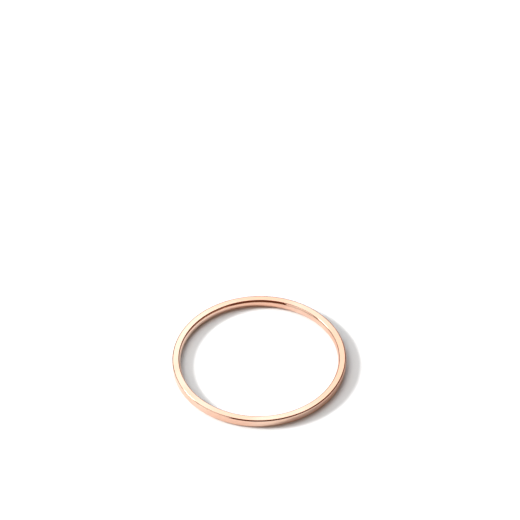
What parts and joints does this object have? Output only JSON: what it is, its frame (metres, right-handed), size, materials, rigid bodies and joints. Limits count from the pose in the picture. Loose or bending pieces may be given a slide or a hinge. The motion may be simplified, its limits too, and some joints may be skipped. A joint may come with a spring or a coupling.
{
  "type": "knuckle ring",
  "caption": "Thin plain knuckle ring: a polished flat-sided band of rectangular section with softly rounded edges, worn above the finger's middle joint or stacked.",
  "frame": {"origin": "on the band's axis, in the plane of its lower side face, which is the surface that the ring lies on", "axes": "+Z along the band's axis, upwards as the ring lies on its side; X and Y lie in the plane of the ring, which is round, so neither is marked"},
  "size_m": [0.0184, 0.0184, 0.001],
  "materials": {
    "rose_gold": "mirror polished rose gold"
  },
  "bodies": {
    "root": {"band": "rose_gold"}
  },
  "joints": []
}
